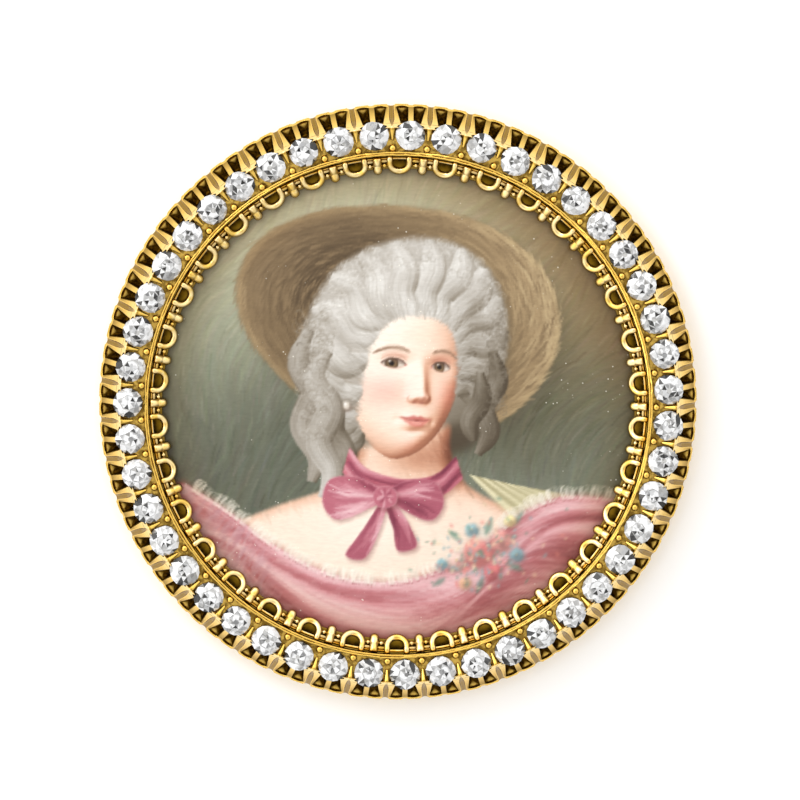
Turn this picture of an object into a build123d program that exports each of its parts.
"""Round portrait brooch, lying on its back with its face up.

A domed enamel plaque sits in a bezel whose gallery of wire loops and barrel beads laps over its
edge. Around it a fluted claw frame carries one row of old mine cut diamonds. A plate closes the
back, and a plain pin is soldered to the plate inside the frame's hollow.

Millimetres. The origin is the middle of the rim that the frame rests on, +Z points out of the
picture and +Y to the picture's top.
"""

import os
from collections import namedtuple
from math import cos, degrees, hypot, pi, radians, sin, sqrt, tan

from build123d import *

# Diamonds
stone_count = 47
stone_width = 2.32  # girdle, over the rounded corners
stone_gap = 0.34  # between neighbours
stone_flat_share = 0.04  # how much nearer the middle the flat sides lie than the corners
girdle_thickness = 0.10
table_width = 1.24
crown_slope = 38.0  # degrees, the main facets above the girdle
pavilion_slope = 41.0  # degrees, the main facets below it
halves_steeper = 5.0  # degrees that the small facets at the girdle are steeper than the mains
stars_flatter = 13.0  # degrees that the facets at the table are flatter than the mains
culet_width = 0.26
stone_turn = 37.0  # degrees that each stone is turned in its seat from the one before
first_stone_angle = 3.245  # degrees from +X
stone_clearance = 0.03
claw_lap = 0.36  # how far the seat's edge laps in over the stone

# Claw frame
lip_reach = 0.92  # plan distance from the stones out to the lip
crest_reach = 0.58  # plan distance from the middle of the stones out to the claws' crest
plate_drop = 0.30  # top of the plate between the stones, below their girdles
claw_height = 0.58  # claws' crest above that plate
claw_back = 0.30  # plan length of the slope from the crest in to that plate
rail_width = 0.30  # two fine ridges inside the stones
rail_height = 0.50  # above the plate
stone_plate_thickness = 0.96
inner_wall_thickness = 0.82
plate_rebate_wall = 0.35  # inner wall's edge round the back plate
outer_wall_thickness = 0.95
base_height = 1.45  # plain foot under the lip
lip_height = 2.00
lip_thickness = 0.36
lip_edge = 0.18  # thickness of the lip round a flute, in plan
foot_setback = 0.60  # foot inside the lip, in plan
girdle_height = 5.00  # of the stones above the resting rim
hollow_bore = 1.00  # hole behind each stone

# Flutes, two to each stone, with a flat rib between them
rib_width = 0.38
flute_outer_width = 0.92
flute_inner_width = 0.56
flute_depth = 1.10  # plan length
flute_floor_drop = 0.20  # below the top of the lip
flute_bulge = 0.06  # how far a flute bows out under the lip
flute_fillet = 0.22
lip_notch_radius = 0.50  # the lip dips in at each rib and claw
rib_notch_depth = 0.08
claw_notch_depth = 0.13

# Claws between the stones, each with a groove that narrows to a point at its top
claw_groove_width = 0.46
claw_groove_depth = 0.17
claw_groove_straight = 0.5  # share of the groove's length before it narrows
claw_groove_overrun = 0.05  # past the crest
spur_width = 0.44  # tip of a claw, which runs on between two stones
spur_tip_width = 0.22
spur_length = 0.82
spur_fall = 16.0  # degrees
grain_width = 0.56  # small bead on the rail's side
grain_inset = 0.24  # from the rail
grain_rise = 0.18  # its middle above the plate

# Bezel with its gallery
bezel_clearance = 0.05
bezel_wall = 0.24
bezel_drop = 0.03  # top of the bezel below the stones' plate
bezel_lip_reach = 0.46  # ledge over the plaque's edge
bezel_lip_thickness = 0.20
gallery_count = 34
first_loop_angle = 4.89  # degrees from +X
loop_width = 1.86
loop_wire = 0.42
loop_reach = 1.36  # plan distance that loops and barrels stand in from the bezel's outside
gallery_sink = 0.08  # how deep the loops' wire is let into the bezel's top
gallery_set_in = 0.08  # ends of the loops in from the bezel's outside
barrel_width = 0.72
barrel_neck_width = 0.62
gallery_bar_width = 0.20
gallery_bead_width = 0.30
gallery_bead_inset = 0.58  # beads down the slope from the loops' ends
gallery_clearance = 0.05  # from the enamel

# Plaque and back
plaque_clearance = 0.05
plaque_thickness = 0.95
plaque_rise = 2.00  # height of the dome
plate_thickness = 0.50
plate_height = 2.20  # underside of the back plate above the resting rim
plate_clearance = 0.05

# Pin
pin_span = 30.0
pin_offset = 5.0  # above the middle
pin_stem_width = 0.90
pin_tip_width = 0.50
pin_foot_length = 2.60
pin_foot_width = 1.80
pin_foot_round = 0.55
pin_stem_height = 0.78  # centre of the stem above the resting rim
pin_rim_gap = 0.15  # feet above the resting rim

# Places worked out from the sizes
stone_radius = stone_width / 2
stone_circle_radius = stone_count * (stone_width + stone_gap) / (2 * pi)
seat_radius = stone_radius + stone_clearance
stone_pitch = 360 / stone_count
first_claw_angle = first_stone_angle + stone_pitch / 2
gallery_pitch = 360 / gallery_count
first_barrel_angle = first_loop_angle + gallery_pitch / 2

crest_radius = stone_circle_radius + crest_reach
lip_radius = stone_circle_radius + seat_radius + lip_reach
foot_radius = lip_radius - foot_setback
rail_outer_radius = stone_circle_radius - stone_radius - stone_clearance
rail_inner_radius = rail_outer_radius - rail_width
channel_inner_radius = rail_inner_radius + inner_wall_thickness
rebate_radius = channel_inner_radius - plate_rebate_wall
plate_radius = rebate_radius - plate_clearance
channel_outer_radius = foot_radius - outer_wall_thickness

plate_top = plate_height + plate_thickness
seat_edge = girdle_height - stone_clearance
seat_plate_top = girdle_height - plate_drop
channel_ceiling = seat_plate_top - stone_plate_thickness
lip_top = lip_height + lip_thickness
claw_top = seat_plate_top + claw_height

bezel_outer_radius = rail_inner_radius - bezel_clearance
bezel_inner_radius = bezel_outer_radius - bezel_wall
bezel_top = seat_plate_top - bezel_drop
plaque_radius = bezel_inner_radius - plaque_clearance
plaque_bottom = plate_top + plate_clearance
plaque_edge_top = plaque_bottom + plaque_thickness
dome_radius = (plaque_radius**2 + plaque_rise**2) / (2 * plaque_rise)


def outline_radius(azimuth):
    """Radius of a stone's cushion outline: the corners lie at 45 degrees to the flat sides."""
    return stone_radius * (1 - stone_flat_share * (1 + cos(radians(4 * azimuth))) / 2)


def dome_height(radius):
    """Height of the enamel's face at a radius from the middle."""
    return plaque_edge_top + plaque_rise - dome_radius + sqrt(dome_radius**2 - radius**2)


# One diamond, its girdle's top at Z = 0 and its table up. A facet's plane passes through the
# point at its azimuth whose distance from the middle is reach times the outline's, and whose
# height is above the girdle's top. Main facets meet the corners of the outline, halves its sides.
main_count = 8
half_count = 2 * main_count
outline_step = 360 / half_count
side_reach = cos(radians(outline_step / 2))
star_reach = cos(radians(outline_step)) * table_width / stone_width
crown_height = (stone_radius - table_width / 2) * tan(radians(crown_slope))
pavilion_depth = (stone_radius - culet_width / 2) * tan(radians(pavilion_slope))
half_slope = crown_slope + halves_steeper
star_slope = crown_slope - stars_flatter
lower_half_slope = pavilion_slope + halves_steeper

Tier = namedtuple("Tier", "name count first_azimuth slope reach height")
crown_tiers = [
    Tier("mains", main_count, 0.0, crown_slope, 1.0, 0.0),
    Tier("halves", half_count, outline_step / 2, half_slope, side_reach, 0.0),
    Tier("stars", main_count, outline_step, star_slope, star_reach, crown_height),
    Tier("table", 1, 0.0, 0.0, 0.0, crown_height),
]
pavilion_tiers = [
    Tier("mains", main_count, 0.0, pavilion_slope, 1.0, -girdle_thickness),
    Tier("halves", half_count, outline_step / 2, lower_half_slope, side_reach, -girdle_thickness),
    Tier("culet", 1, 0.0, 0.0, 0.0, -girdle_thickness - pavilion_depth),
]


def facet_plane(tier, number, side):
    """The plane of one facet, its normal out of the stone. side is 1 above the girdle and -1 below."""
    azimuth = tier.first_azimuth + number * 360 / tier.count
    reach = tier.reach * outline_radius(azimuth)
    across = Vector(cos(radians(azimuth)), sin(radians(azimuth)), 0)
    normal = across * sin(radians(tier.slope)) + Vector(0, 0, side * cos(radians(tier.slope)))
    return Plane(origin=across * reach + Vector(0, 0, tier.height), z_dir=normal)


with BuildPart() as stone:
    with BuildSketch(Plane.XY.offset(-stone_width)):
        with BuildLine():
            azimuths = [n * outline_step for n in range(half_count)]
            Polyline(
                [
                    (outline_radius(a) * cos(radians(a)), outline_radius(a) * sin(radians(a)))
                    for a in azimuths
                ],
                close=True,
            )
        make_face()
    extrude(amount=2 * stone_width)
    for side, tiers in ((1, crown_tiers), (-1, pavilion_tiers)):
        for tier in tiers:
            for number in range(tier.count):
                split(bisect_by=facet_plane(tier, number, side), keep=Keep.BOTTOM)

girdle_place = Vector(stone_circle_radius, 0, girdle_height + girdle_thickness)
stones = [
    stone.part.rotate(Axis.Z, number * stone_turn)
    .translate(girdle_place)
    .rotate(Axis.Z, first_stone_angle + number * stone_pitch)
    for number in range(stone_count)
]
diamonds = Compound(children=stones)
diamonds.label = "diamonds"


# The seat cut for one stone: a cone below the girdle down to the hole behind it, a short wall at
# the girdle, and above it the crown's slope, so that claws lap over the stone's edge.
seat_mouth_radius = seat_radius - claw_lap
crown_run = (seat_radius - seat_mouth_radius) * tan(radians(crown_slope))
seat_depth = (seat_radius - hollow_bore / 2) * tan(radians(pavilion_slope))
seat_wall_top = girdle_height + girdle_thickness + stone_clearance

with BuildPart() as seat:
    with BuildSketch(Plane.XZ):
        with BuildLine():
            Polyline(
                (0, channel_ceiling - stone_clearance),
                (hollow_bore / 2, channel_ceiling - stone_clearance),
                (hollow_bore / 2, seat_edge - seat_depth),
                (seat_radius, seat_edge),
                (seat_radius, seat_wall_top),
                (seat_mouth_radius, seat_wall_top + crown_run),
                (seat_mouth_radius, seat_wall_top + crown_run + stone_width),
                (0, seat_wall_top + crown_run + stone_width),
                close=True,
            )
        make_face()
    revolve(axis=Axis.Z)

# The hollow of one flute, beside the rib on its +Y side, rounded at its floor.
flute_outer_radius = lip_radius - lip_edge
flute_inner_radius = flute_outer_radius - flute_depth
flute_floor = lip_top - flute_floor_drop

with BuildPart() as flute:
    with BuildSketch(Plane.XY.offset(flute_floor)):
        with BuildLine():
            near, far = rib_width / 2, rib_width / 2 + flute_outer_width
            rim_near = sqrt(flute_outer_radius**2 - near**2)
            rim_far = sqrt(flute_outer_radius**2 - far**2)
            bulge = (flute_outer_radius + flute_bulge, (near + far) / 2)
            rim = ThreePointArc((rim_near, near), bulge, (rim_far, far))
            Polyline(
                rim @ 1,
                (flute_inner_radius, near + flute_inner_width),
                (flute_inner_radius, near),
                rim @ 0,
            )
        make_face()
    extrude(amount=girdle_height)
    fillet(flute.faces().sort_by(Axis.Z)[0].edges(), radius=flute_fillet)

# The groove cut down the middle of each claw's outer face, from the lip to just past the crest.
groove_radius = claw_groove_width / 2
face_foot = Vector(lip_radius, 0, lip_top)
face_line = Vector(crest_radius - lip_radius, 0, claw_top - lip_top)
face_direction = face_line.normalized()
groove_offset = Vector(face_direction.Z, 0, -face_direction.X) * (groove_radius - claw_groove_depth)
groove_length = face_line.length + claw_groove_overrun

with BuildPart() as claw_groove:
    with BuildSketch(
        Plane(origin=face_foot + groove_offset, x_dir=face_direction, z_dir=(0, -1, 0))
    ):
        with BuildLine():
            narrowing = groove_length * claw_groove_straight
            halfway = (narrowing + groove_length) / 2
            Polyline(
                (groove_length, 0),
                (-lip_thickness * 2, 0),
                (-lip_thickness * 2, groove_radius),
                (narrowing, groove_radius),
            )
            ThreePointArc(
                (narrowing, groove_radius), (halfway, groove_radius * 0.72), (groove_length, 0)
            )
        make_face()
    revolve(axis=Axis(face_foot + groove_offset, face_direction))

# The claw's tip: a spur that tapers in between the stones from just inside the crest.
spur_start = Vector(crest_radius - claw_groove_overrun, 0, claw_top - spur_width / 2)
spur_axis = Axis(spur_start, (-cos(radians(spur_fall)), 0, -sin(radians(spur_fall))))

with BuildPart() as spur:
    with BuildSketch(Plane(origin=spur_start, x_dir=spur_axis.direction, z_dir=(0, -1, 0))):
        with BuildLine():
            tip_radius = spur_tip_width / 2
            back = (-spur_width / 2, 0)
            slant = spur_width / 2 * sin(radians(45))
            ThreePointArc(back, (-slant, slant), (0, spur_width / 2))
            Line((0, spur_width / 2), (spur_length, tip_radius))
            turned = tip_radius * sin(radians(45))
            ThreePointArc(
                (spur_length, tip_radius),
                (spur_length + turned, turned),
                (spur_length + tip_radius, 0),
            )
            Line((spur_length + tip_radius, 0), back)
        make_face()
    revolve(axis=spur_axis)


def lip_notch(depth):
    """A rounded notch cut down through the lip, so that the outline dips in there."""
    with BuildPart() as notch:
        with BuildSketch(Plane.XY.offset(base_height)):
            with Locations((lip_radius + lip_notch_radius - depth, 0)):
                Circle(lip_notch_radius)
        extrude(amount=lip_top - base_height + lip_thickness)
    return notch.part


rib_notch = lip_notch(rib_notch_depth)
claw_notch = lip_notch(claw_notch_depth)

ridge_radius = rail_width / 4
ridge_base = seat_plate_top + rail_height - ridge_radius
lip_round = lip_edge / 2

with BuildPart() as claw_frame:
    with BuildSketch(Plane.XZ):
        with BuildLine():
            Polyline(
                (channel_outer_radius, channel_ceiling),
                (channel_outer_radius, 0),
                (foot_radius, 0),
                (foot_radius, base_height),
                (lip_radius, lip_height),
                (lip_radius, lip_top - lip_round),
                (lip_radius - lip_round, lip_top),
                (crest_radius, claw_top),
                (crest_radius - claw_back, seat_plate_top),
                (rail_outer_radius, seat_plate_top),
                (rail_outer_radius, ridge_base),
            )
            ThreePointArc(
                (rail_outer_radius, ridge_base),
                (rail_outer_radius - ridge_radius, ridge_base + ridge_radius),
                (rail_outer_radius - 2 * ridge_radius, ridge_base),
            )
            ThreePointArc(
                (rail_outer_radius - 2 * ridge_radius, ridge_base),
                (rail_inner_radius + ridge_radius, ridge_base + ridge_radius),
                (rail_inner_radius, ridge_base),
            )
            Polyline(
                (rail_inner_radius, ridge_base),
                (rail_inner_radius, plate_top + plate_clearance),
                (rebate_radius, plate_top + plate_clearance),
                (rebate_radius, plate_height),
                (channel_inner_radius, plate_height),
                (channel_inner_radius, channel_ceiling),
                (channel_outer_radius, channel_ceiling),
            )
        make_face()
    revolve(axis=Axis.Z)
    with PolarLocations(rail_outer_radius + grain_inset, stone_count, first_claw_angle):
        with Locations((0, 0, seat_plate_top + grain_rise)):
            Sphere(grain_width / 2)
    with PolarLocations(0, stone_count, first_claw_angle):
        add(spur.part)
    with PolarLocations(stone_circle_radius, stone_count, first_stone_angle):
        add(seat.part, mode=Mode.SUBTRACT)
    with PolarLocations(0, stone_count, first_stone_angle):
        add(flute.part, mode=Mode.SUBTRACT)
        add(mirror(flute.part, about=Plane.XZ, mode=Mode.PRIVATE), mode=Mode.SUBTRACT)
        add(rib_notch, mode=Mode.SUBTRACT)
    with PolarLocations(0, stone_count, first_claw_angle):
        add(claw_groove.part, mode=Mode.SUBTRACT)
        add(claw_notch, mode=Mode.SUBTRACT)
claw_frame.part.label = "claw_frame"


# The gallery lies on a cone that falls from the top of the bezel to just above the enamel.
wire_radius = loop_wire / 2
barrel_radius = barrel_width / 2
gallery_root = Vector(
    bezel_outer_radius - gallery_set_in - wire_radius / 2, 0, bezel_top + wire_radius - gallery_sink
)


def above_enamel(reach, size):
    """The centre of a round thing of this radius whose inner side stands in by reach."""
    radius = bezel_outer_radius - reach + size
    slope = radius / dome_radius
    return Vector(radius, 0, dome_height(radius) + (size + gallery_clearance) * hypot(1, slope))


loop_tip = above_enamel(loop_reach, wire_radius)
loop_fall = (loop_tip - gallery_root).normalized()
loop_plane = Plane(origin=gallery_root, x_dir=loop_fall, z_dir=loop_fall.cross(Vector(0, -1, 0)))
loop_turn = (loop_width - loop_wire) / 2
loop_leg = (loop_tip - gallery_root).length - loop_turn

with BuildPart() as wire_loop:
    with BuildLine(loop_plane) as loop_path:
        Line((0, -loop_turn), (loop_leg, -loop_turn))
        ThreePointArc((loop_leg, -loop_turn), (loop_leg + loop_turn, 0), (loop_leg, loop_turn))
        Line((loop_leg, loop_turn), (0, loop_turn))
    with BuildSketch(Plane(origin=loop_path.line @ 0, z_dir=loop_path.line % 0)):
        Circle(wire_radius)
    sweep(path=loop_path.line)

barrel_root = gallery_root + loop_fall * (barrel_neck_width / 2 - wire_radius)
barrel_tip = above_enamel(loop_reach, barrel_radius)
barrel_axis = (barrel_root - barrel_tip).normalized()
barrel_length = (barrel_root - barrel_tip).length

with BuildPart() as barrel:
    with BuildSketch(Plane(origin=barrel_tip, x_dir=barrel_axis, z_dir=(0, -1, 0))):
        with BuildLine():
            diagonal = barrel_radius * sin(radians(45))
            ThreePointArc((-barrel_radius, 0), (-diagonal, diagonal), (0, barrel_radius))
            Polyline(
                (0, barrel_radius),
                (barrel_length, barrel_neck_width / 2),
                (barrel_length, 0),
                (-barrel_radius, 0),
            )
        make_face()
    revolve(axis=Axis(barrel_tip, barrel_axis))

# A short bar with a bead on it joins each loop to the barrels beside it.
bead_radius = gallery_bead_width / 2
bar_radius = gallery_bar_width / 2
bead_place = gallery_root + loop_fall * gallery_bead_inset
barrel_offset = bead_place.X * radians(gallery_pitch / 2)
bead_angle = degrees((loop_width / 2 + barrel_offset - barrel_radius) / 2 / bead_place.X)
bar_half_length = (barrel_offset - loop_turn) / 2

with BuildPart() as beaded_bar:
    with BuildSketch(Plane(origin=bead_place, x_dir=(0, 1, 0), z_dir=(1, 0, 0))):
        with BuildLine():
            bead_edge = sqrt(bead_radius**2 - bar_radius**2)
            Polyline(
                (-bead_edge, bar_radius),
                (-bar_half_length, bar_radius),
                (-bar_half_length, 0),
                (bar_half_length, 0),
                (bar_half_length, bar_radius),
                (bead_edge, bar_radius),
            )
            ThreePointArc((bead_edge, bar_radius), (0, bead_radius), (-bead_edge, bar_radius))
        make_face()
    revolve(axis=Axis(bead_place, (0, 1, 0)))

ledge_radius = bezel_inner_radius - bezel_lip_reach
ledge_bottom = dome_height(ledge_radius) + plaque_clearance

with BuildPart() as gallery_bezel:
    with BuildSketch(Plane.XZ):
        with BuildLine():
            Polyline(
                (bezel_outer_radius, plate_top + plate_clearance),
                (bezel_outer_radius, bezel_top),
                (bezel_inner_radius, bezel_top),
                (bezel_inner_radius, ledge_bottom + bezel_lip_thickness),
                (ledge_radius, ledge_bottom + bezel_lip_thickness),
                (ledge_radius, ledge_bottom),
                (bezel_inner_radius, ledge_bottom),
                (bezel_inner_radius, plate_top + plate_clearance),
                close=True,
            )
        make_face()
    revolve(axis=Axis.Z)
    with PolarLocations(0, gallery_count, first_loop_angle):
        add(wire_loop.part)
    with PolarLocations(0, gallery_count, first_barrel_angle):
        add(barrel.part)
    for bead_side in (1, -1):
        with PolarLocations(0, gallery_count, first_loop_angle + bead_side * bead_angle):
            add(beaded_bar.part)
gallery_bezel.part.label = "gallery_bezel"


with BuildPart() as enamel_plaque:
    with BuildSketch(Plane.XZ):
        with BuildLine():
            inside_rise = plaque_edge_top + plaque_rise - plaque_thickness
            half = plaque_radius / 2
            Line((0, inside_rise), (0, dome_height(0)))
            ThreePointArc(
                (0, dome_height(0)), (half, dome_height(half)), (plaque_radius, plaque_edge_top)
            )
            Line((plaque_radius, plaque_edge_top), (plaque_radius, plaque_bottom))
            ThreePointArc(
                (plaque_radius, plaque_bottom),
                (half, dome_height(half) - plaque_thickness),
                (0, inside_rise),
            )
        make_face()
    revolve(axis=Axis.Z)
enamel_plaque.part.label = "enamel_plaque"

with BuildPart() as back_plate:
    with Locations((0, 0, plate_height)):
        Cylinder(plate_radius, plate_thickness, align=(Align.CENTER, Align.CENTER, Align.MIN))
back_plate.part.label = "back_plate"

# The pin with its hinge and catch as one plain piece: two feet and a stem that tapers to its tip.
foot_top = plate_height - plate_clearance
foot_height = foot_top - pin_rim_gap
stem_start = Vector(-pin_span / 2, pin_offset, pin_stem_height)

with BuildPart() as brooch_pin:
    with Locations(
        (-pin_span / 2, pin_offset, pin_rim_gap), (pin_span / 2, pin_offset, pin_rim_gap)
    ):
        Box(
            pin_foot_length,
            pin_foot_width,
            foot_height,
            align=(Align.CENTER, Align.CENTER, Align.MIN),
        )
    fillet(brooch_pin.edges().filter_by(Axis.Z), radius=pin_foot_round)
    with BuildSketch(Plane(origin=stem_start, z_dir=(1, 0, 0))):
        Circle(pin_stem_width / 2)
    with BuildSketch(Plane(origin=stem_start + Vector(pin_span, 0, 0), z_dir=(1, 0, 0))):
        Circle(pin_tip_width / 2)
    loft()
brooch_pin.part.label = "brooch_pin"

os.makedirs("parts", exist_ok=True)
export_step(claw_frame.part, "parts/claw_frame.step")
export_step(diamonds, "parts/diamonds.step")
export_step(gallery_bezel.part, "parts/gallery_bezel.step")
export_step(enamel_plaque.part, "parts/enamel_plaque.step")
export_step(back_plate.part, "parts/back_plate.step")
export_step(brooch_pin.part, "parts/brooch_pin.step")
